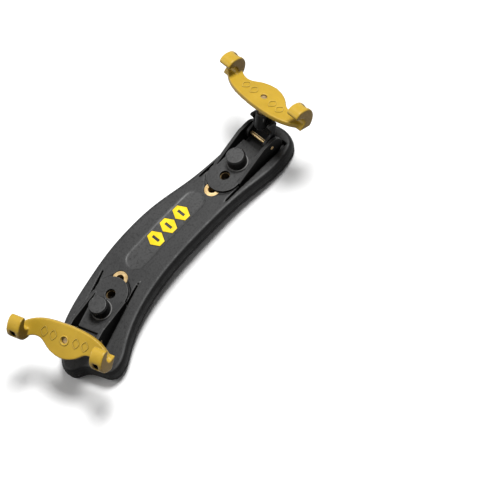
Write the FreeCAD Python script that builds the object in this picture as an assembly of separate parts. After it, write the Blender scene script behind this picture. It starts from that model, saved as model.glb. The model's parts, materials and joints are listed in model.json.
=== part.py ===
"""Violin shoulder rest: a curved bar with a foam pad, and a folding, screw-adjusted fork at each end.

Frame: +X runs along the bar toward its narrow end, +Z is the side that faces the violin.
The origin is at the middle of the part's box, on the plane that the foam pad rests on. Units are mm.
"""

import FreeCAD
import Part
import math
import os

from FreeCAD import Placement, Rotation, Vector

# Where the working frame lies in the part's frame: the middle of the box, on its lowest point.
ORIGIN_SHIFT = Vector(3.40, 9.28, 20.64)

# Bar, seen from above: the edge on the +Y side, the edge on the -Y side, and the two ends between them.
BACK_EDGE = [(-84, 15.4), (-60, 20.4), (-38, 23.6), (-14, 24.6), (12, 22.8), (40, 17.8), (64, 16.0), (94, 15.4)]
FRONT_EDGE = [(-90, -43.4), (-76, -37.0), (-50, -26.4), (-20, -21.4), (20, -19.9), (58, -20.8), (97, -21.6)]
NARROW_END = [(106.0, -17.2), (109.6, -5.0), (104.2, 9.4)]
WIDE_END = [(-99.8, 8.4), (-110.6, -2.4), (-116.4, -11.6), (-114.4, -18.2), (-108.6, -22.4), (-103.4, -32.6)]
WIDE_END += [(-97.5, -42.6)]

# Height of the bar's top along X: arched over the shoulder half, easing the other way at the chest half.
DECK_HEIGHTS = [(-135, -10.6), (-115, -7.3), (-57.7, -1.5), (0, 0.4), (57.6, -3.4), (105, -7.4), (125, -8.4)]
BAR_THICKNESS = 8.0
TOP_ROUNDING = 3.0
FOAM_THICKNESS = 5.0
FOAM_INSET = 0.7

# Raised emblem in its shallow capsule panel at the middle of the bar.
PANEL_LENGTH = 72.0
PANEL_WIDTH = 16.0
PANEL_CENTRE = (1.0, 2.4)
PANEL_DEPTH = 0.4
EMBLEM_X = 4.6
EMBLEM_PITCH = 12.5
EMBLEM_HALF_LENGTH = 5.6
EMBLEM_HALF_WIDTH = 6.4
EMBLEM_FLAT = 2.4
EMBLEM_SLIT = 2.0
EMBLEM_RISE = 0.5

# End seats: the axis of the spare hole, the way outward along the seat, and the seat's fall per mm outward.
SEATS = {
    "narrow": {"centre": (56.8, -0.9), "heading": -0.2, "fall": 0.090, "lean": 22.0, "stud_rise": 36.4},
    "wide": {"centre": (-57.2, -1.6), "heading": 196.2, "fall": 0.066, "lean": 30.0, "stud_rise": 26.2},
}
SEAT_DEPTH = 0.7
SEAT_NOSE = [(-14.2, 6.0), (-8.0, 12.0), (-2.0, 13.4)]
SEAT_OUTER = 46.0
HOLE_PITCH = 12.8

# Guide grooves beside the seat, in the seat's own frame (x outward, y across).
GROOVE_TIP = (-16.4, 14.2)
GROOVE_NECK = (1.0, 12.6)
GROOVE_INNER_Y = 10.4
GROOVE_OUTER_Y = 14.8
GROOVE_DEPTH = 4.0

# How far cutting shapes reach past what they cut, above the deck and to the sides.
CUT_RISE = 8.0
CUT_REACH = 20.0
SHEET_HALF_WIDTH = 100.0
SHEET_HALF_HEIGHT = 60.0

# Edges in a smooth closed outline.
CURVE_RUNS = 4

# Threaded brass inserts in the bar, M6.
INSERT_RADIUS = 5.6
INSERT_BORE = 3.0
INSERT_LENGTH = 6.5

# Carriage: floor plate and the two ears that hold the hinge pin.
PLATE_THICKNESS = 2.2
PLATE_HALF_WIDTH = 13.1
PLATE_END = 29.0
PLATE_NOSE_RADIUS = 12.4
PLATE_NOSE_X = -0.6
PLATE_HOLE = 3.6
EAR_THICKNESS = 2.5
EAR_START = 1.6
EAR_SKIRT = 2.2
EAR_SHOULDER = (28.4, 12.4)
EAR_LOBE = (36.4, 5.2)
EAR_LOBE_RADIUS = 7.6
PIN_X = 34.8
PIN_Z = 7.0
PIN_RADIUS = 1.25
PIN_CLEARANCE = 0.05

# Clamp knob with its screw and washer.
SCREW_RADIUS = 2.94
SCREW_REACH = 5.6
WASHER_RADIUS = 7.6
WASHER_THICKNESS = 1.0
KNOB_RADIUS = 6.9
KNOB_HEIGHT = 8.8
KNOB_CHAMFER = 0.9
SEATING_GAP = 0.05

# Folding leg, in its own frame: origin on the pin, w up the leg, u outward. Two cheeks stand on the pin,
# joined by a web set back between them, with a boss that holds the nut of the fork's stud.
LEG_HALF_WIDTH = 9.4
CHEEK_THICKNESS = 2.2
CHEEK_FRONT = [(-3.9, 0), (-3.4, 2.4), (-1.2, 4.6), (1.2, 6.2), (2.3, 8.4), (1.4, 11.6), (-0.6, 14.2), (-1.8, 16.2)]
CHEEK_FRONT += [(-0.6, 17.6)]
LEG_TOP = 23.8
LEG_OUTER_U = 5.8
LEG_HEEL_RADIUS = 3.9
LEG_WEB_U = 3.2
LEG_WEB_BOTTOM = 4.6
BOSS_RADIUS = 4.3
BOSS_BOTTOM = 11.0
NUT_RADIUS = 3.4
NUT_LENGTH = 8.0
NUT_RECESS = 1.2
NUT_BORE = 2.55
SHAFT_CLEARANCE = 0.5

# Fork: rubber cover over a metal core, on a brass stud.
STUD_RADIUS = 2.5
STUD_LENGTH = 21.8
STUD_RECESS = 1.2
FORK_THICKNESS = 4.0
FORK_INNER_EDGE = [(-11.0, 0), (-10.5, 11.2), (-8.9, 21.0), (-6.0, 28.4), (-1.6, 34.6)]
FORK_OUTER_EDGE = [(3.4, 37.6), (7.0, 34.2), (7.0, 29.6), (4.7, 24.0), (4.7, 18.0), (8.4, 12.8), (11.6, 6.7)]
FORK_LOBE_TIP = (12.8, 0)
FORK_TOP_HOLE = 2.05
CORE_THICKNESS = 1.4
CORE_INSET = 2.2
CORE_HOLE = 2.56
HOOK_FRONT = 28.2
HOOK_BACK = 38.2
HOOK_WALL = [(7.3, 0.0), (9.3, 5.2), (8.8, 11.0), (4.0, 16.8), (-0.8, 17.9), (-5.6, 16.6), (-7.4, 13.8), (-5.6, 11.3)]
HOOK_THROAT = [(-1.2, 10.7), (1.1, 8.9), (1.6, 6.2), (-0.1, 3.7)]
HOOK_ROOT_U = -2.6
TONGUE_U = 4.4
TONGUE_FOOT_U = -1.0
TONGUE_TOP = 10.4
TONGUE_MARGIN = 2.8
SLOT_WIDTH = 4.0
SLOT_LENGTH = 6.2
SLOT_DEPTH = 4.0
SLOT_CENTRE = (6.0, 14.4)
SLOT_TILT = -40.0


def flat(points, z=0.0):
    return [Vector(x, y, z) for x, y in points]


def polygon(points, z=0.0):
    corners = flat(points, z)
    return Part.Face(Part.makePolygon(corners + corners[:1]))


def moved_in(points, distance):
    """Points of a counter-clockwise outline, each moved toward the inside by the distance."""
    moved = []
    for i, (x, y) in enumerate(points):
        before = points[i - 1]
        after = points[(i + 1) % len(points)]
        run = Vector(after[0] - before[0], after[1] - before[1], 0).normalize()
        moved.append((x - run.y * distance, y + run.x * distance))
    return moved


def closed_curve(points):
    """Face inside one smooth closed curve, whose rim is divided into a few edges so that it rounds cleanly."""
    curve = Part.BSplineCurve()
    curve.interpolate(Points=flat(points), PeriodicFlag=True)
    knots = curve.getKnots()
    cuts = [knots[i * (len(knots) - 1) // CURVE_RUNS] for i in range(CURVE_RUNS + 1)]
    runs = [curve.toShape(start, end) for start, end in zip(cuts, cuts[1:])]
    return Part.Face(Part.Wire(runs))


def open_curve(points):
    curve = Part.BSplineCurve()
    curve.interpolate(Points=points)
    return curve.toShape()


def cylinder(radius, bottom, top, x=0.0):
    return Part.makeCylinder(radius, top - bottom, Vector(x, 0, bottom))


def box(x0, x1, y0, y1, z0, z1):
    return Part.makeBox(x1 - x0, y1 - y0, z1 - z0, Vector(x0, y0, z0))


def mirrored(shape):
    return shape.mirror(Vector(0, 0, 0), Vector(0, 1, 0))


def slab(outline, top, bottom):
    """The outline's prism between two offsets of the bar's top surface."""
    stations = [Vector(x, 0, z + top) for x, z in DECK_HEIGHTS]
    lower = [Vector(x, 0, z + bottom) for x, z in reversed(DECK_HEIGHTS)]
    edges = [open_curve(stations), Part.LineSegment(stations[-1], lower[0]).toShape()]
    edges += [open_curve(lower), Part.LineSegment(lower[-1], stations[0]).toShape()]
    section = Part.Face(Part.Wire(edges))
    section.translate(Vector(0, -SHEET_HALF_WIDTH, 0))
    sheet = section.extrude(Vector(0, 2 * SHEET_HALF_WIDTH, 0))
    prism = outline.copy()
    prism.translate(Vector(0, 0, -SHEET_HALF_HEIGHT))
    return sheet.common(prism.extrude(Vector(0, 0, 2 * SHEET_HALF_HEIGHT)))


def top_rim(solid):
    """Edges that bound the solid's highest face."""
    face = max(solid.Faces, key=lambda one: one.CenterOfMass.z)
    return face.OuterWire.Edges


def deck_height(x):
    curve = Part.BSplineCurve()
    curve.interpolate(Points=[Vector(px, 0, pz) for px, pz in DECK_HEIGHTS])
    line = Part.makeLine(Vector(x, 0, -SHEET_HALF_HEIGHT), Vector(x, 0, SHEET_HALF_HEIGHT))
    return curve.toShape().distToShape(line)[1][0][0].z


def seat_placement(end):
    """Seat frame: x outward, y across, z normal to the seat, origin on the spare hole's axis."""
    seat = SEATS[end]
    heading = math.radians(seat["heading"])
    outward = Vector(math.cos(heading), math.sin(heading), -seat["fall"])
    across = Vector(-math.sin(heading), math.cos(heading), 0)
    x, y = seat["centre"]
    base = Vector(x, y, deck_height(x) - SEAT_DEPTH) + ORIGIN_SHIFT
    return Placement(base, Rotation(outward, across, outward.cross(across), "XYZ"))


def leg_placement(end):
    """Leg frame: origin on the pin, z up the leg, x outward, leaning out from the seat's normal."""
    lean = Placement(Vector(PIN_X, 0, PIN_Z), Rotation(Vector(0, 1, 0), SEATS[end]["lean"]))
    return seat_placement(end).multiply(lean)


def fork_placement(end):
    """Fork frame: origin on the stud's axis at the underside of the fork's plate."""
    rise = SEATS[end]["stud_rise"] - FORK_THICKNESS / 2
    return leg_placement(end).multiply(Placement(Vector(0, 0, rise), Rotation()))


def bar_outline(inset=0.0):
    """Counter-clockwise plan of the bar, from the narrow end's back corner round the wide end."""
    points = BACK_EDGE[::-1] + WIDE_END + FRONT_EDGE + NARROW_END
    return closed_curve(moved_in(points, inset))


def groove():
    tip_x, tip_y = GROOVE_TIP
    neck_x, neck_y = GROOVE_NECK
    points = [(tip_x, tip_y), (neck_x, neck_y), (neck_x, GROOVE_INNER_Y), (SEAT_OUTER, GROOVE_INNER_Y)]
    points += [(SEAT_OUTER, GROOVE_OUTER_Y), (tip_x, GROOVE_OUTER_Y)]
    face = polygon(points, -GROOVE_DEPTH)
    return face.extrude(Vector(0, 0, GROOVE_DEPTH + CUT_RISE))


def seat_cutter():
    """Everything that is taken out of the bar at one end, in the seat frame."""
    half = SEAT_NOSE + [(HOLE_PITCH, GROOVE_OUTER_Y), (SEAT_OUTER, GROOVE_OUTER_Y)]
    plan = [(x, -y) for x, y in half] + half[::-1]
    cutter = polygon(plan).extrude(Vector(0, 0, CUT_RISE))
    cutter = cutter.fuse([groove(), mirrored(groove())])
    holes = [cylinder(INSERT_RADIUS, -INSERT_LENGTH, CUT_RISE, x) for x in insert_places()]
    return cutter.fuse(holes)


def insert_places():
    return [-HOLE_PITCH, 0.0, HOLE_PITCH]


def panel_face():
    x, y = PANEL_CENTRE
    radius = PANEL_WIDTH / 2
    reach = PANEL_LENGTH / 2 - radius
    plate = box(x - reach, x + reach, y - radius, y + radius, 0, 1).Faces
    middle = min(plate, key=lambda face: face.CenterOfMass.z)
    ends = [Part.Face(Part.Wire(Part.makeCircle(radius, Vector(x + side, y, 0)))) for side in (-reach, reach)]
    return middle.fuse(ends).removeSplitter()


def make_bar():
    blank = slab(bar_outline(), 0, -BAR_THICKNESS)
    blank = blank.makeFillet(TOP_ROUNDING, top_rim(blank))
    panel = slab(panel_face(), CUT_RISE, -PANEL_DEPTH)
    blank = blank.cut(panel)
    for end in SEATS:
        cutter = seat_cutter()
        cutter.Placement = seat_placement(end).multiply(cutter.Placement)
        cutter.translate(ORIGIN_SHIFT * -1)
        blank = blank.cut(cutter)
    return blank


def make_foam():
    return slab(bar_outline(FOAM_INSET), -BAR_THICKNESS, -BAR_THICKNESS - FOAM_THICKNESS)


def make_emblem():
    """Three slit hexagons in a row, raised from the panel."""
    y0 = PANEL_CENTRE[1]
    low = y0 - EMBLEM_HALF_WIDTH
    high = y0 + EMBLEM_HALF_WIDTH
    pieces = []
    for step in (-1, 0, 1):
        x = EMBLEM_X + step * EMBLEM_PITCH
        tip = EMBLEM_HALF_LENGTH
        flat_end = EMBLEM_FLAT
        corners = [(x - tip, y0), (x - flat_end, low), (x + flat_end, low)]
        corners += [(x + tip, y0), (x + flat_end, high), (x - flat_end, high)]
        left = x - EMBLEM_SLIT / 2
        slit = box(left, left + EMBLEM_SLIT, (y0 + low) / 2, (y0 + high) / 2, -CUT_RISE, CUT_RISE)
        pieces.append(slab(polygon(corners).cut(slit), EMBLEM_RISE - PANEL_DEPTH, -PANEL_DEPTH))
    return Part.makeCompound(pieces)


def make_insert(x):
    return cylinder(INSERT_RADIUS, -INSERT_LENGTH, 0, x).cut(cylinder(INSERT_BORE, -INSERT_LENGTH, 0, x))


def make_ear():
    shoulder_x, shoulder_z = EAR_SHOULDER
    lobe_x, lobe_z = EAR_LOBE
    outer = PLATE_HALF_WIDTH
    inner = outer - EAR_THICKNESS
    points = [(EAR_START, -EAR_SKIRT), (lobe_x, -EAR_SKIRT), (lobe_x, lobe_z + EAR_LOBE_RADIUS)]
    points += [(shoulder_x, shoulder_z), (EAR_START, PLATE_THICKNESS)]
    corners = [Vector(x, inner, z) for x, z in points]
    blade = Part.Face(Part.makePolygon(corners + corners[:1])).extrude(Vector(0, EAR_THICKNESS, 0))
    lobe = Part.makeCylinder(EAR_LOBE_RADIUS, EAR_THICKNESS, Vector(lobe_x, inner, lobe_z), Vector(0, 1, 0))
    below = box(lobe_x - CUT_REACH, lobe_x + CUT_REACH, inner, outer, -CUT_REACH, -EAR_SKIRT)
    return blade.fuse(lobe.cut(below)).removeSplitter()


def make_carriage():
    width = PLATE_HALF_WIDTH
    plate = box(EAR_START, PLATE_END, -width, width, 0, PLATE_THICKNESS)
    nose = cylinder(PLATE_NOSE_RADIUS, 0, PLATE_THICKNESS, PLATE_NOSE_X)
    neck = box(PLATE_NOSE_X, EAR_START, -PLATE_NOSE_RADIUS, PLATE_NOSE_RADIUS, 0, PLATE_THICKNESS)
    body = plate.fuse([nose, neck, make_ear(), mirrored(make_ear())])
    body = body.cut([cylinder(PLATE_HOLE, 0, PLATE_THICKNESS, x) for x in (0, HOLE_PITCH)])
    pin = Part.makeCylinder(PIN_RADIUS, 2 * width, Vector(PIN_X, -width, PIN_Z), Vector(0, 1, 0))
    return body.cut(pin).removeSplitter()


def make_pin():
    width = PLATE_HALF_WIDTH
    return Part.makeCylinder(PIN_RADIUS, 2 * width, Vector(PIN_X, -width, PIN_Z), Vector(0, 1, 0))


def make_washer():
    bottom = PLATE_THICKNESS + SEATING_GAP
    top = bottom + WASHER_THICKNESS
    ring = cylinder(WASHER_RADIUS, bottom, top, HOLE_PITCH)
    return ring.cut(cylinder(SCREW_RADIUS + PIN_CLEARANCE, bottom, top, HOLE_PITCH))


def knob_bottom():
    return PLATE_THICKNESS + WASHER_THICKNESS + 2 * SEATING_GAP


def make_knob():
    bottom = knob_bottom()
    grip = cylinder(KNOB_RADIUS, bottom, bottom + KNOB_HEIGHT, HOLE_PITCH)
    grip = grip.makeChamfer(KNOB_CHAMFER, top_rim(grip))
    return grip.cut(make_screw())


def make_screw():
    return cylinder(SCREW_RADIUS, -SCREW_REACH, knob_bottom() + KNOB_HEIGHT / 2, HOLE_PITCH)


def make_cheek():
    """Side plate of the leg: a rounded heel on the pin, a waist, and a forward tip at its top."""
    inner = LEG_HALF_WIDTH - CHEEK_THICKNESS
    front = [Vector(u, inner, w) for u, w in CHEEK_FRONT]
    top_back = Vector(LEG_OUTER_U, inner, front[-1].z)
    foot_back = Vector(LEG_OUTER_U, inner, 0)
    runs = [front[-1], top_back, foot_back, front[0]]
    edges = [open_curve(front)] + [Part.LineSegment(a, b).toShape() for a, b in zip(runs, runs[1:])]
    blade = Part.Face(Part.Wire(edges)).extrude(Vector(0, CHEEK_THICKNESS, 0))
    heel = Part.makeCylinder(LEG_HEEL_RADIUS, CHEEK_THICKNESS, Vector(0, inner, 0), Vector(0, 1, 0))
    return blade.fuse(heel)


def make_leg():
    half = LEG_HALF_WIDTH
    inner = half - CHEEK_THICKNESS
    web = box(LEG_WEB_U, LEG_OUTER_U, -inner, inner, LEG_WEB_BOTTOM, LEG_TOP)
    boss = cylinder(BOSS_RADIUS, BOSS_BOTTOM, LEG_TOP)
    body = web.fuse([boss, make_cheek(), mirrored(make_cheek())])
    shaft = cylinder(STUD_RADIUS + SHAFT_CLEARANCE, 0, LEG_TOP)
    bore = Part.makeCylinder(PIN_RADIUS + PIN_CLEARANCE, 2 * half, Vector(0, -half, 0), Vector(0, 1, 0))
    return body.cut([shaft, nut_blank(), bore]).removeSplitter()


def nut_blank():
    top = LEG_TOP - NUT_RECESS
    return cylinder(NUT_RADIUS, top - NUT_LENGTH, top)


def make_nut():
    return nut_blank().cut(cylinder(NUT_BORE, 0, LEG_TOP))


def make_stud():
    top = FORK_THICKNESS - STUD_RECESS - SEATING_GAP
    return cylinder(STUD_RADIUS, top - STUD_LENGTH, top)


def fork_outline(inset=0.0):
    """Plate outline, symmetric across y, counter-clockwise from the middle of its inner edge."""
    half = FORK_INNER_EDGE + FORK_OUTER_EDGE
    mirror_half = [(u, -y) for u, y in half[1:]]
    return closed_curve(moved_in([half[0]] + mirror_half + [FORK_LOBE_TIP] + half[:0:-1], inset))


def make_hook():
    """One claw: a wall that rises at the arm's outer side and curls back over the arm."""
    wall = [Vector(u, HOOK_FRONT, h) for u, h in HOOK_WALL]
    throat = [Vector(u, HOOK_FRONT, h) for u, h in HOOK_THROAT]
    root = Vector(HOOK_ROOT_U, HOOK_FRONT, 0.0)
    edges = [open_curve(wall), open_curve([wall[-1]] + throat), Part.LineSegment(throat[-1], root).toShape()]
    edges.append(Part.LineSegment(root, wall[0]).toShape())
    claw = Part.Face(Part.Wire(edges)).extrude(Vector(0, HOOK_BACK - HOOK_FRONT, 0))
    return claw.cut(hook_slot())


def hook_slot():
    """Blind rectangular slot in the claw's sloping outer face."""
    u, h = SLOT_CENTRE
    y = (HOOK_FRONT + HOOK_BACK) / 2
    pocket = box(-SLOT_DEPTH, SLOT_DEPTH, -SLOT_WIDTH / 2, SLOT_WIDTH / 2, -SLOT_LENGTH / 2, SLOT_LENGTH / 2)
    pocket.Placement = Placement(Vector(u, y, h), Rotation(Vector(0, 1, 0), SLOT_TILT))
    return pocket


def make_core():
    low = (FORK_THICKNESS - CORE_THICKNESS) / 2
    plan = fork_outline(CORE_INSET)
    plan.translate(Vector(0, 0, low))
    core = plan.extrude(Vector(0, 0, CORE_THICKNESS))
    front = HOOK_FRONT + TONGUE_MARGIN
    back = HOOK_BACK - TONGUE_MARGIN
    tongue = box(TONGUE_U, TONGUE_U + CORE_THICKNESS, front, back, low, TONGUE_TOP)
    foot = box(TONGUE_FOOT_U, TONGUE_U + CORE_THICKNESS, front, back, low, low + CORE_THICKNESS)
    core = core.fuse([tongue, foot, mirrored(tongue), mirrored(foot)])
    return core.cut(cylinder(CORE_HOLE, -1, FORK_THICKNESS)).removeSplitter()


def make_cover():
    plate = fork_outline().extrude(Vector(0, 0, FORK_THICKNESS))
    body = plate.fuse([make_hook(), mirrored(make_hook())]).removeSplitter()
    body = body.cut(make_core())
    stud_room = cylinder(CORE_HOLE, -1, FORK_THICKNESS - STUD_RECESS)
    return body.cut([stud_room, cylinder(FORK_TOP_HOLE, 0, FORK_THICKNESS)])


def end_nodes(end):
    """Every sub-part of one end, with the placement it is built in."""
    seat = seat_placement(end)
    leg = leg_placement(end)
    fork = fork_placement(end)
    nodes = {
        "carriage": (make_carriage(), seat),
        "hinge_pin": (make_pin(), seat),
        "clamp_washer": (make_washer(), seat),
        "clamp_knob": (make_knob(), seat),
        "clamp_screw": (make_screw(), seat),
        "leg_block": (make_leg(), leg),
        "leg_nut": (make_nut(), leg),
        "fork_stud": (make_stud(), fork),
        "fork_core": (make_core(), fork),
        "fork_cover": (make_cover(), fork),
    }
    for name, x in zip(("inner", "middle", "outer"), insert_places()):
        nodes["insert_" + name] = (make_insert(x), seat)
    placed = {}
    for name, (shape, placement) in nodes.items():
        shape.Placement = placement.multiply(shape.Placement)
        placed[end + "_" + name] = shape
    return placed


def build():
    parts = {"base_bar": make_bar(), "foam_pad": make_foam(), "emblem": make_emblem()}
    for shape in parts.values():
        shape.translate(ORIGIN_SHIFT)
    for end in SEATS:
        parts.update(end_nodes(end))
    return parts


def main():
    os.makedirs("parts", exist_ok=True)
    parts = build()
    for name, shape in parts.items():
        shape.exportStep("parts/" + name + ".step")
    whole = Part.makeCompound(list(parts.values())).BoundBox
    print("box", [round(v, 2) for v in (whole.XMin, whole.XMax, whole.YMin, whole.YMax, whole.ZMin, whole.ZMax)])
    for name, shape in parts.items():
        print(name, shape.ShapeType, len(shape.Solids), shape.isValid(), round(shape.Volume, 1))


if __name__ == "__main__":
    main()
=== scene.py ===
"""Violin shoulder rest: a black bar on a foam pad, with a yellow rubber-covered fork at each end.

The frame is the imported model's: +X runs to the narrow end, +Z faces the violin.
Sizes named below are in millimetres and degrees unless their comment says otherwise.
"""

import bmesh
import bpy
import json
import math
from mathutils import Matrix, Quaternion, Vector


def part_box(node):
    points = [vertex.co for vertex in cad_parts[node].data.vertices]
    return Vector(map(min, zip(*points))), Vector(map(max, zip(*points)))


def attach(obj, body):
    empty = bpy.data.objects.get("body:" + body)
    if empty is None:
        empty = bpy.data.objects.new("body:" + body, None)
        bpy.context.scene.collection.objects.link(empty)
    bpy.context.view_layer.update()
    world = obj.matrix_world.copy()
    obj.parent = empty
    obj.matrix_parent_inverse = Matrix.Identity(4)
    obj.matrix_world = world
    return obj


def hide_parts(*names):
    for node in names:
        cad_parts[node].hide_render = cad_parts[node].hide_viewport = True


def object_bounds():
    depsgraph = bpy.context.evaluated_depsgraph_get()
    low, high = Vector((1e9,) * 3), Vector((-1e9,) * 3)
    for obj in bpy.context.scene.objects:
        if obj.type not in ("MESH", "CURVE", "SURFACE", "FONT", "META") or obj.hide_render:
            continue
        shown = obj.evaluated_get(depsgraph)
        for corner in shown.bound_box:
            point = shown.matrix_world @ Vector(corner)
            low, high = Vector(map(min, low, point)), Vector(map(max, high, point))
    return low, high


MM = 0.001
ENDS = ("narrow", "wide")

# Camera: where it stands round the part, how it is rolled, how far off it is, and its clip in metres.
CAMERA_AZIMUTH = -19.47
CAMERA_ELEVATION = 59.36
CAMERA_ROLL = -29.44
CAMERA_DISTANCE = 2715.7 * MM
CAMERA_TARGET = Vector((31.75, -35.95, 21.07)) * MM
CAMERA_LENS = 300.0
SENSOR_WIDTH = 36.0
CAMERA_CLIP = (0.05, 40.0)

# Studio: each light's name, direction from the part, distance and size in metres, and power in watts.
LIGHTS = [
    ("key", (0.40, 0.0, 1.0), 2.6, 1.0, 84.0),
    ("side", (-0.7, 0.9, 0.7), 2.6, 1.4, 24.0),
]
WORLD_COLOUR = (1.0, 1.0, 1.0, 1.0)
WORLD_STRENGTH = 0.20

# Floor: half its width in metres, and its gap under the part in mm.
FLOOR_HALF_WIDTH = 6.0
FLOOR_GAP = 0.05

# Softened edges: voxel in mm, smoothing passes, and the share of faces that is kept.
WELD_DISTANCE = 0.002
SMOOTHING_FACTOR = 0.5
SOFTENED = {
    "carriage": (0.30, 4, 0.35),
    "leg_block": (0.30, 4, 0.35),
    "clamp_knob": (0.25, 4, 0.50),
    "fork_cover": (0.42, 26, 0.50),
}
BAR_VOXEL = 0.45
BAR_PASSES = 10
BAR_KEPT = 0.35
FOAM_VOXEL = 0.8
FOAM_PASSES = 14
FOAM_RIPPLE = 0.12
FOAM_RIPPLE_LENGTH = 12

# Cosines between a face's normal and a direction.
FLAT_FACE = 0.95
UPPER_FACE = 0.5

# Raised marks on each fork, either side of the stud's hole, and the ring round the wide fork's hole.
MARK_PLACES = (9.0, 16.2)
MARK_HALF = (4.0, 3.1)
MARK_STROKE = 1.1
MARK_RISE = 0.5
MARK_ROOT = 0.6
MARK_SHIFT = -0.6
MARK_DRIFT = -0.05
MARK_EASE = 0.3
MARK_CREASE = 25
LOZENGE_POINTS = 24
LOZENGE_POINTEDNESS = 1.5
RING_RADIUS = 3.1
RING_TUBE = 0.55
RING_STEPS = 40
RING_TUBE_STEPS = 10
FORK_THICKNESS = 4.0

# Capsule panel at the middle of the bar, and the emblem's three marks in it.
PANEL_SHIFT = -3.6
PANEL_LENGTH = 72.0
PANEL_WIDTH = 16.0
EMBLEM_PITCH = 12.5
EMBLEM_FLAT = 2.4
EMBLEM_BEVEL = 0.12
EMBLEM_CREASE = 40
OUTLINE_MARGIN = 0.6
OUTLINE_RISE = 0.16
OUTLINE_ROOT = 0.1
OUTLINE_SLOPE = (0.15, 0.08)

# Slot in each claw, in the fork's frame.
CLAW_MIDDLE = 33.2
SLOT_CENTRE = (6.0, 14.4)
SLOT_TILT = -40.0
SLOT_WIDTH = 4.0
SLOT_LENGTH = 6.2
SLOT_MARGIN = 0.1
SLOT_LIP = 0.5
SLOT_REACH = 5.0


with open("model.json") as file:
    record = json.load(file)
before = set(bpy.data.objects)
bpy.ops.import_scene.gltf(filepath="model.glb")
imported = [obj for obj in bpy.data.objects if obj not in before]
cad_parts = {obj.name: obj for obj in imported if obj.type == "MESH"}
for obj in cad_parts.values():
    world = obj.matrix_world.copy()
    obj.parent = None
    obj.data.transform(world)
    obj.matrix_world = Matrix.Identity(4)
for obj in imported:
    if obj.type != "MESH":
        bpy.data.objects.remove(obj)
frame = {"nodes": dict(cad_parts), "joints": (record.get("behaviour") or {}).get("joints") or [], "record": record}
nodes = frame["nodes"]
joints = {joint["name"]: joint for joint in frame["joints"]}
bodies = frame["record"]["behaviour"]["bodies"]
body_of_node = {node: body for body, members in bodies.items() for node in members}
slot_of_node = {part["node"]: part["material_slot"] for part in frame["record"]["subparts"]}
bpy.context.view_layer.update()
detail = 1.0


# Materials

class Shader:
    """A procedural material under construction."""

    def __init__(self, name, **values):
        self.material = bpy.data.materials.new(name)
        self.material.use_nodes = True
        self.tree = self.material.node_tree
        self.surface = self.tree.nodes["Principled BSDF"]
        self.place = self.add("ShaderNodeTexCoord").outputs["Object"]
        for socket, value in values.items():
            self.surface.inputs[socket.replace("_", " ")].default_value = value

    def add(self, kind, inputs=None, **settings):
        node = self.tree.nodes.new(kind)
        for name, value in settings.items():
            setattr(node, name, value)
        for name, value in (inputs or {}).items():
            if isinstance(value, bpy.types.NodeSocket):
                self.tree.links.new(value, node.inputs[name])
            else:
                node.inputs[name].default_value = value
        return node

    def noise(self, per_metre, octaves=3.0, roughness=0.5, stretch=(1, 1, 1)):
        place = self.add("ShaderNodeMapping", {"Vector": self.place, "Scale": stretch}).outputs["Vector"]
        inputs = {"Vector": place, "Scale": per_metre, "Detail": octaves, "Roughness": roughness}
        return self.add("ShaderNodeTexNoise", inputs).outputs["Fac"]

    def cells(self, per_metre):
        inputs = {"Vector": self.place, "Scale": per_metre}
        return self.add("ShaderNodeTexVoronoi", inputs).outputs["Distance"]

    def span(self, value, low, high, to_low=0.0, to_high=1.0):
        inputs = {"Value": value, "From Min": low, "From Max": high, "To Min": to_low, "To Max": to_high}
        return self.add("ShaderNodeMapRange", inputs).outputs["Result"]

    def blend(self, factor, first, second):
        node = self.add("ShaderNodeMix", data_type="RGBA")
        self.tree.links.new(factor, node.inputs[0])
        for socket, value in ((node.inputs[6], first), (node.inputs[7], second)):
            if isinstance(value, bpy.types.NodeSocket):
                self.tree.links.new(value, socket)
            else:
                socket.default_value = value
        return node.outputs[2]

    def edges(self, low, high):
        """1 on convex edges, 0 elsewhere."""
        pointed = self.add("ShaderNodeNewGeometry").outputs["Pointiness"]
        return self.span(pointed, low, high)

    def upward(self, low, high):
        """1 on faces that look up, 0 on walls."""
        normal = self.tree.nodes["Texture Coordinate"].outputs["Normal"]
        height = self.add("ShaderNodeSeparateXYZ", {"Vector": normal}).outputs["Z"]
        return self.span(height, low, high)

    def colour(self, value):
        self.tree.links.new(value, self.surface.inputs["Base Color"])

    def gloss(self, value):
        self.tree.links.new(value, self.surface.inputs["Specular IOR Level"])

    def rough(self, value):
        self.tree.links.new(value, self.surface.inputs["Roughness"])

    def bump(self, *layers):
        """Layers of (height, distance in mm, strength), the broadest first."""
        normal = None
        for height, distance, strength in layers:
            inputs = {"Height": height, "Distance": distance * MM, "Strength": strength}
            if normal:
                inputs["Normal"] = normal
            normal = self.add("ShaderNodeBump", inputs).outputs["Normal"]
        self.tree.links.new(normal, self.surface.inputs["Normal"])


def grey(value, warmth=0.0):
    return (value * (1 + warmth), value, value * (1 - warmth), 1.0)


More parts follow.
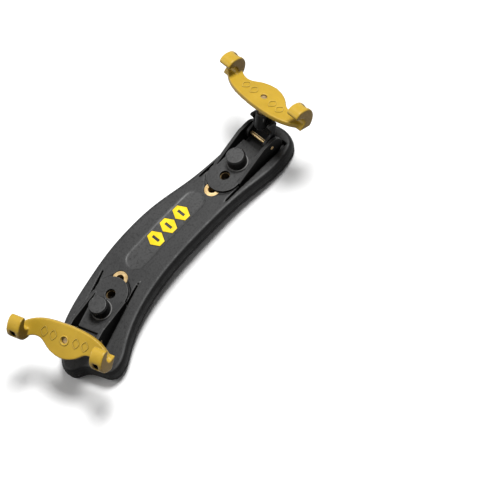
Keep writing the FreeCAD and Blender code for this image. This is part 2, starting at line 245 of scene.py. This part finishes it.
def moulded_plastic(name, base, light, roughness, grain=1.0):
    shader = Shader(name, IOR=1.42)
    shader.gloss(shader.span(shader.upward(0.2, 0.9), 0, 1, 0.08, 0.4))
    cloud = shader.span(shader.noise(28, 4), 0.3, 0.7)
    speck = shader.span(shader.noise(620, 3, 0.7), 0.48, 0.70)
    edge_highlight = shader.edges(0.515, 0.575)
    handled = shader.blend(cloud, grey(base), grey(light))
    # Painted shade: faces that turn away from up are painted a far darker grey than the tops.
    body = shader.blend(shader.upward(0.80, 0.97), grey(base * 0.16), handled)
    body = shader.blend(shader.span(speck, 0, 1, 0, 0.8), body, grey(base * 0.40))
    # Painted highlight: convex edges are blended towards a much lighter grey.
    shader.colour(shader.blend(shader.span(edge_highlight, 0, 1, 0, 0.7), body, grey(light * 3.4, 0.02)))
    shader.rough(shader.span(shader.noise(160, 3), 0.3, 0.7, roughness - 0.05, roughness + 0.07))
    scratch = shader.noise(240, 2, 0.6, (1, 14, 14))
    swell = shader.noise(60, 3)
    pebble = shader.cells(1000)
    shader.bump((swell, 0.10, 0.15), (scratch, 0.02, 0.12), (pebble, 0.10, 0.55 * grain))
    return shader.material


def foam_material():
    shader = Shader("foam", Sheen_Weight=0.05, Sheen_Roughness=0.5, IOR=1.4, Specular_IOR_Level=0.08)
    cloud = shader.span(shader.noise(45, 4), 0.3, 0.7)
    pore = shader.span(shader.cells(1100), 0.1, 0.5)
    body = shader.blend(cloud, grey(0.006), grey(0.012))
    shader.colour(shader.blend(shader.span(pore, 0, 1, 0, 0.4), body, grey(0.020)))
    shader.rough(shader.span(pore, 0, 1, 0.82, 0.95))
    shader.bump((shader.noise(120, 4), 0.25, 0.25), (pore, 0.16, 0.5))
    return shader.material


def tinted(colour, share):
    return (*(channel * share for channel in colour), 1.0)


def rubber_material(name="yellow_rubber", share=1.0):
    shader = Shader(name, IOR=1.46, Subsurface_Weight=0.06, Subsurface_Scale=0.8 * MM)
    shader.surface.inputs["Subsurface Radius"].default_value = (1.0, 0.6, 0.2)
    shader.gloss(shader.span(shader.upward(0.1, 0.8), 0, 1, 0.12, 0.45))
    cloud = shader.span(shader.noise(70, 4), 0.3, 0.7)
    speck = shader.span(shader.noise(650, 3, 0.6), 0.58, 0.72)
    crease_shade = shader.edges(0.485, 0.43)
    rubber_edge_highlight = shader.edges(0.53, 0.60)
    body = shader.blend(cloud, tinted((0.44, 0.275, 0.020), share), tinted((0.51, 0.325, 0.028), share))
    # Painted shade: faces that turn away from up are painted dark brown.
    body = shader.blend(shader.upward(0.10, 0.78), tinted((0.13, 0.080, 0.011), share), body)
    body = shader.blend(shader.span(speck, 0, 1, 0, 0.25), body, (0.34, 0.20, 0.018, 1))
    # Painted shade in creases: concave places are blended towards dark brown.
    body = shader.blend(shader.span(crease_shade, 0, 1, 0, 0.55), body, (0.20, 0.115, 0.012, 1))
    # Painted highlight: convex edges are blended towards a light yellow.
    shader.colour(shader.blend(shader.span(rubber_edge_highlight, 0, 1, 0, 0.4), body, (0.68, 0.48, 0.10, 1)))
    shader.rough(shader.span(shader.noise(220, 3), 0.3, 0.7, 0.36, 0.50))
    shader.bump((shader.noise(90, 3), 0.12, 0.2), (shader.noise(1500, 2), 0.03, 0.35))
    return shader.material


def paint_material():
    shader = Shader("yellow_paint", IOR=1.45, Specular_IOR_Level=0.25)
    cloud = shader.span(shader.noise(160, 3), 0.3, 0.7)
    chip = shader.span(shader.noise(420, 4, 0.7), 0.66, 0.70)
    body = shader.blend(cloud, (0.78, 0.55, 0.012, 1), (0.88, 0.65, 0.022, 1))
    shader.colour(shader.blend(chip, body, (0.42, 0.29, 0.03, 1)))
    shader.rough(shader.span(cloud, 0, 1, 0.34, 0.46))
    shader.bump((shader.noise(500, 3), 0.05, 0.3), (chip, 0.03, 0.4))
    return shader.material


def metal(name, dark, light, roughness):
    shader = Shader(name, Metallic=0.9)
    stain = shader.span(shader.noise(190, 5, 0.6), 0.35, 0.7)
    shader.colour(shader.blend(stain, light, dark))
    shader.rough(shader.span(shader.noise(500, 3), 0.3, 0.7, roughness - 0.06, roughness + 0.10))
    turned = shader.noise(420, 2, 0.5, (1, 1, 9))
    shader.bump((turned, 0.02, 0.35), (shader.noise(1900, 2), 0.01, 0.3))
    return shader.material


def floor_material():
    shader = Shader("floor", IOR=1.3)
    cloud = shader.span(shader.noise(3.0, 3), 0.3, 0.7)
    shader.colour(shader.blend(cloud, grey(0.86), grey(0.90)))
    shader.rough(shader.span(shader.noise(40, 3), 0.3, 0.7, 0.75, 0.9))
    return shader.material


MATERIALS = {
    "black_plastic": moulded_plastic("black_plastic", 0.027, 0.040, 0.50),
    "foam": foam_material(),
    "brass": metal("brass", (0.42, 0.27, 0.10, 1), (0.80, 0.60, 0.32, 1), 0.42),
    "steel": metal("steel", (0.30, 0.28, 0.25, 1), (0.62, 0.60, 0.56, 1), 0.32),
    "yellow_rubber": rubber_material(),
    "yellow_paint": paint_material(),
}
PANEL_MATERIAL = moulded_plastic("panel_plastic", 0.046, 0.062, 0.42, 0.5)
KNOB_MATERIAL = moulded_plastic("knob_plastic", 0.042, 0.060, 0.40, 0.8)
MARK_SHADE = rubber_material("mark_shade", 0.16)
SLOT_MATERIAL = moulded_plastic("slot_shadow", 0.012, 0.020, 0.70, 0.3)
DULL_BRASS = metal("dull_brass", (0.05, 0.035, 0.02, 1), (0.16, 0.11, 0.05, 1), 0.45)
OUTLINE_MATERIAL = moulded_plastic("outline_plastic", 0.006, 0.010, 0.50, 0.6)


# Pieces

def dress(piece, material):
    piece.data.materials.clear()
    piece.data.materials.append(material)


def smooth(piece, degrees):
    piece.data.shade_smooth()
    piece.data.set_sharp_from_angle(angle=math.radians(degrees))


def in_body(piece, body):
    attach(piece, body)


def stand_in(node, suffix="detail"):
    """A copy of a CAD node's mesh, to be given detail in its place."""
    mesh = nodes[node].data.copy()
    shape = bmesh.new()
    shape.from_mesh(mesh)
    bmesh.ops.remove_doubles(shape, verts=shape.verts, dist=WELD_DISTANCE * MM)
    shape.to_mesh(mesh)
    shape.free()
    piece = bpy.data.objects.new(node + "_" + suffix, mesh)
    bpy.context.scene.collection.objects.link(piece)
    dress(piece, MATERIALS[slot_of_node[node]])
    in_body(piece, body_of_node[node])
    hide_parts(node)
    return piece


def apply_modifiers(piece):
    """Makes the piece's modifiers part of its mesh."""
    graph = bpy.context.evaluated_depsgraph_get()
    mesh = bpy.data.meshes.new_from_object(piece.evaluated_get(graph))
    piece.modifiers.clear()
    piece.data = mesh


def soften(piece, voxel, passes, kept):
    remesh = piece.modifiers.new("remesh", "REMESH")
    remesh.mode = "VOXEL"
    remesh.voxel_size = voxel * MM * detail
    remesh.use_smooth_shade = True
    ease = piece.modifiers.new("ease", "SMOOTH")
    ease.factor = SMOOTHING_FACTOR
    ease.iterations = passes
    thin = piece.modifiers.new("thin", "DECIMATE")
    thin.ratio = kept
    apply_modifiers(piece)
    piece.data.shade_smooth()


def softened_node(node, kind):
    piece = stand_in(node)
    voxel, passes, kept = SOFTENED[kind]
    material = piece.data.materials[0]
    soften(piece, voxel, passes, kept)
    dress(piece, material)
    return piece


def fork_frame(end):
    """Matrix of the fork's frame: u outward, y across, z up the stud, origin at the plate's underside."""
    turn = joints[end + "_fork_turn"]
    up = Vector(turn["axis"]).normalized()
    across = Vector(joints[end + "_leg_fold"]["axis"]).normalized()
    outward = across.cross(up)
    matrix = Matrix((outward, across, up)).transposed().to_4x4()
    matrix.translation = Vector(turn["pos_m"])
    return matrix


def add_piece(name, shape, matrix, material, body):
    mesh = bpy.data.meshes.new(name)
    shape.to_mesh(mesh)
    shape.free()
    mesh.transform(matrix)
    piece = bpy.data.objects.new(name, mesh)
    bpy.context.scene.collection.objects.link(piece)
    dress(piece, material)
    in_body(piece, body)
    return piece


def lozenge_corners(centre, half, inset, height):
    """Points round a soft-cornered lozenge."""
    corners = []
    for step in range(LOZENGE_POINTS):
        angle = step * 2 * math.pi / LOZENGE_POINTS
        lean_u = math.copysign(abs(math.cos(angle)) ** LOZENGE_POINTEDNESS, math.cos(angle))
        lean_v = math.copysign(abs(math.sin(angle)) ** LOZENGE_POINTEDNESS, math.sin(angle))
        u = centre[0] + lean_u * (half[0] - inset)
        v = centre[1] + lean_v * (half[1] - inset)
        corners.append((u, v, height))
    return corners


def lozenge_ridge(shape, centre, half, stroke, low, high):
    """A raised lozenge outline with sloping sides."""
    ease = stroke * MARK_EASE
    levels = [(0.0, low), (ease, high), (stroke - ease, high), (stroke, low)]
    rings = []
    for inset, height in levels:
        rings.append([shape.verts.new(corner) for corner in lozenge_corners(centre, half, inset, height)])
    for first, second in zip(rings, rings[1:] + rings[:1]):
        for i in range(len(first)):
            j = (i + 1) % len(first)
            shape.faces.new((first[i], first[j], second[j], second[i]))


def make_fork_marks(end):
    shape = bmesh.new()
    top = FORK_THICKNESS
    for side in (-1, 1):
        for place in MARK_PLACES:
            centre = (MARK_SHIFT + MARK_DRIFT * place, side * place)
            lozenge_ridge(shape, centre, MARK_HALF, MARK_STROKE, top - MARK_ROOT, top + MARK_RISE)
    matrix = fork_frame(end) @ Matrix.Scale(MM, 4)
    rubber = MATERIALS["yellow_rubber"]
    piece = add_piece(end + "_fork_marks", shape, matrix, rubber, end + "_fork")
    piece.data.materials.append(MARK_SHADE)
    up = matrix.to_3x3() @ Vector((0, 0, 1))
    for face in piece.data.polygons:
        if abs(face.normal.dot(up.normalized())) < FLAT_FACE:
            face.material_index = 1
    smooth(piece, MARK_CREASE)


def make_fork_ring(end):
    shape = bmesh.new()
    rim, tube = RING_STEPS, RING_TUBE_STEPS
    rings = []
    for i in range(rim):
        turn = i * 2 * math.pi / rim
        ring = []
        for j in range(tube):
            lift = j * 2 * math.pi / tube
            reach = RING_RADIUS + RING_TUBE * math.cos(lift)
            point = (reach * math.cos(turn), reach * math.sin(turn), RING_TUBE * math.sin(lift))
            ring.append(shape.verts.new(point))
        rings.append(ring)
    for i in range(rim):
        for j in range(tube):
            a, b = rings[i], rings[(i + 1) % rim]
            shape.faces.new((a[j], b[j], b[(j + 1) % tube], a[(j + 1) % tube]))
    matrix = fork_frame(end) @ Matrix.Translation((0, 0, FORK_THICKNESS * MM)) @ Matrix.Scale(MM, 4)
    rubber = MATERIALS["yellow_rubber"]
    piece = add_piece(end + "_fork_ring", shape, matrix, rubber, end + "_fork")
    piece.data.shade_smooth()


def make_bar():
    """The bar with eased edges, and its capsule panel in a finer finish."""
    bar = stand_in("base_bar")
    soften(bar, BAR_VOXEL, BAR_PASSES, BAR_KEPT)
    dress(bar, MATERIALS["black_plastic"])
    bar.data.materials.append(PANEL_MATERIAL)
    low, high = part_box("emblem")
    centre_x = (low.x + high.x) / 2 / MM + PANEL_SHIFT
    centre_y = (low.y + high.y) / 2 / MM
    radius = PANEL_WIDTH / 2
    reach = PANEL_LENGTH / 2 - radius
    for face in bar.data.polygons:
        x = face.center.x / MM - centre_x
        y = face.center.y / MM - centre_y
        along = max(abs(x) - reach, 0.0)
        if math.hypot(along, y) < radius and face.normal.z > UPPER_FACE:
            face.material_index = 1


def make_foam():
    """Foam pad with eased edges and a slightly uneven surface."""
    foam = stand_in("foam_pad", "soft")
    soften(foam, FOAM_VOXEL, FOAM_PASSES, 1.0)
    dress(foam, MATERIALS["foam"])
    cloud = bpy.data.textures.new("foam_ripple", "CLOUDS")
    cloud.noise_scale = FOAM_RIPPLE_LENGTH * MM
    ripple = foam.modifiers.new("ripple", "DISPLACE")
    ripple.texture = cloud
    ripple.texture_coords = "GLOBAL"
    ripple.strength = FOAM_RIPPLE * MM
    apply_modifiers(foam)
    foam.data.shade_smooth()


def make_emblem():
    """The raised emblem with eased edges."""
    emblem = stand_in("emblem")
    ease = emblem.modifiers.new("ease", "BEVEL")
    ease.width = EMBLEM_BEVEL * MM
    ease.segments = 2
    ease.limit_method = "ANGLE"
    apply_modifiers(emblem)
    dress(emblem, MATERIALS["yellow_paint"])
    smooth(emblem, EMBLEM_CREASE)


def make_emblem_outline():
    """A dark rim round each of the emblem's marks, just above the panel."""
    low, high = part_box("emblem")
    corners = [v.co / MM for v in nodes["emblem"].data.vertices]
    middle = (low + high) / 2 / MM
    tip = (high.x - low.x) / 2 / MM - EMBLEM_PITCH + OUTLINE_MARGIN
    side = (high.y - low.y) / 2 / MM + OUTLINE_MARGIN
    flat_end = EMBLEM_FLAT + OUTLINE_MARGIN / 2
    lower_half = [(-tip, 0), (-flat_end, -side), (flat_end, -side)]
    upper_half = [(tip, 0), (flat_end, side), (-flat_end, side)]
    plan = lower_half + upper_half
    inward, drop = OUTLINE_SLOPE
    levels = [(0.0, -OUTLINE_ROOT), (0.0, OUTLINE_RISE - drop), (inward, OUTLINE_RISE)]
    shape = bmesh.new()
    for step in (-1, 0, 1):
        x = middle.x + step * EMBLEM_PITCH
        floor = min(c.z for c in corners if abs(c.x - x) < EMBLEM_PITCH / 2)
        rings = []
        for inset, height in levels:
            scale = 1 - inset / side
            ring = [(x + u * scale, middle.y + v * scale, floor + height) for u, v in plan]
            rings.append([shape.verts.new(point) for point in ring])
        for lower, upper in zip(rings, rings[1:]):
            for i in range(len(plan)):
                j = (i + 1) % len(plan)
                shape.faces.new((lower[i], lower[j], upper[j], upper[i]))
        shape.faces.new(rings[0][::-1])
        shape.faces.new(rings[-1])
    matrix = Matrix.Scale(MM, 4)
    body = body_of_node["emblem"]
    add_piece("emblem_outline", shape, matrix, OUTLINE_MATERIAL, body)


def shade_slots(piece, end):
    """Darkens the inside of the slot in each claw."""
    piece.data.materials.append(SLOT_MATERIAL)
    to_fork = fork_frame(end).inverted()
    tilt = math.radians(SLOT_TILT)
    for face in piece.data.polygons:
        u, v, w = to_fork @ face.center / MM
        across = abs(abs(v) - CLAW_MIDDLE)
        du, dw = u - SLOT_CENTRE[0], w - SLOT_CENTRE[1]
        along = du * math.sin(tilt) + dw * math.cos(tilt)
        deep = dw * math.sin(tilt) - du * math.cos(tilt)
        in_width = across < SLOT_WIDTH / 2 + SLOT_MARGIN
        in_length = abs(along) < SLOT_LENGTH / 2 + SLOT_MARGIN
        if in_width and in_length and SLOT_LIP < deep < SLOT_REACH:
            face.material_index = 1


make_bar()
make_foam()
make_emblem()
make_emblem_outline()
for end in ENDS:
    for kind in SOFTENED:
        piece = softened_node(end + "_" + kind, kind)
        if kind == "clamp_knob":
            dress(piece, KNOB_MATERIAL)
        if kind == "fork_cover":
            shade_slots(piece, end)
    make_fork_marks(end)
make_fork_ring("wide")

shown_as_is = [n for n, node in nodes.items() if not node.hide_render]
for name in shown_as_is:
    dress(nodes[name], MATERIALS[slot_of_node[name]])
for end in ENDS:
    dress(nodes[end + "_clamp_washer"], KNOB_MATERIAL)
    dress(nodes[end + "_insert_middle"], DULL_BRASS)
    dress(nodes[end + "_insert_outer"], DULL_BRASS)


# Stage

def make_floor():
    low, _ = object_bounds()
    shape = bmesh.new()
    bmesh.ops.create_grid(shape, x_segments=8, y_segments=8, size=FLOOR_HALF_WIDTH)
    mesh = bpy.data.meshes.new("floor")
    shape.to_mesh(mesh)
    shape.free()
    floor = bpy.data.objects.new("floor", mesh)
    floor.location.z = low.z - FLOOR_GAP * MM
    bpy.context.scene.collection.objects.link(floor)
    dress(floor, floor_material())


def make_light(name, direction, distance, size, power):
    data = bpy.data.lights.new(name, "AREA")
    data.shape = "DISK"
    data.size = size
    data.energy = power
    light = bpy.data.objects.new(name, data)
    aim = Vector(direction).normalized()
    light.location = aim * distance
    light.rotation_mode = "QUATERNION"
    light.rotation_quaternion = aim.to_track_quat("Z", "Y")
    bpy.context.scene.collection.objects.link(light)


def make_camera():
    data = bpy.data.cameras.new("camera")
    data.lens = CAMERA_LENS
    data.sensor_width = SENSOR_WIDTH
    data.clip_start, data.clip_end = CAMERA_CLIP
    camera = bpy.data.objects.new("camera", data)
    azimuth = math.radians(CAMERA_AZIMUTH)
    elevation = math.radians(CAMERA_ELEVATION)
    flat = math.cos(elevation)
    back = Vector((math.sin(azimuth) * flat, -math.cos(azimuth) * flat, math.sin(elevation)))
    camera.location = CAMERA_TARGET + back * CAMERA_DISTANCE
    camera.rotation_mode = "QUATERNION"
    level = (-back).to_track_quat("-Z", "Y")
    camera.rotation_quaternion = level @ Quaternion((0, 0, 1), math.radians(CAMERA_ROLL))
    bpy.context.scene.collection.objects.link(camera)
    bpy.context.scene.camera = camera


make_floor()
make_camera()
for light in LIGHTS:
    make_light(*light)

world = bpy.data.worlds.new("studio")
world.use_nodes = True
background = world.node_tree.nodes["Background"]
background.inputs["Color"].default_value = WORLD_COLOUR
background.inputs["Strength"].default_value = WORLD_STRENGTH
bpy.context.scene.world = world
bpy.context.scene.view_settings.view_transform = "Standard"
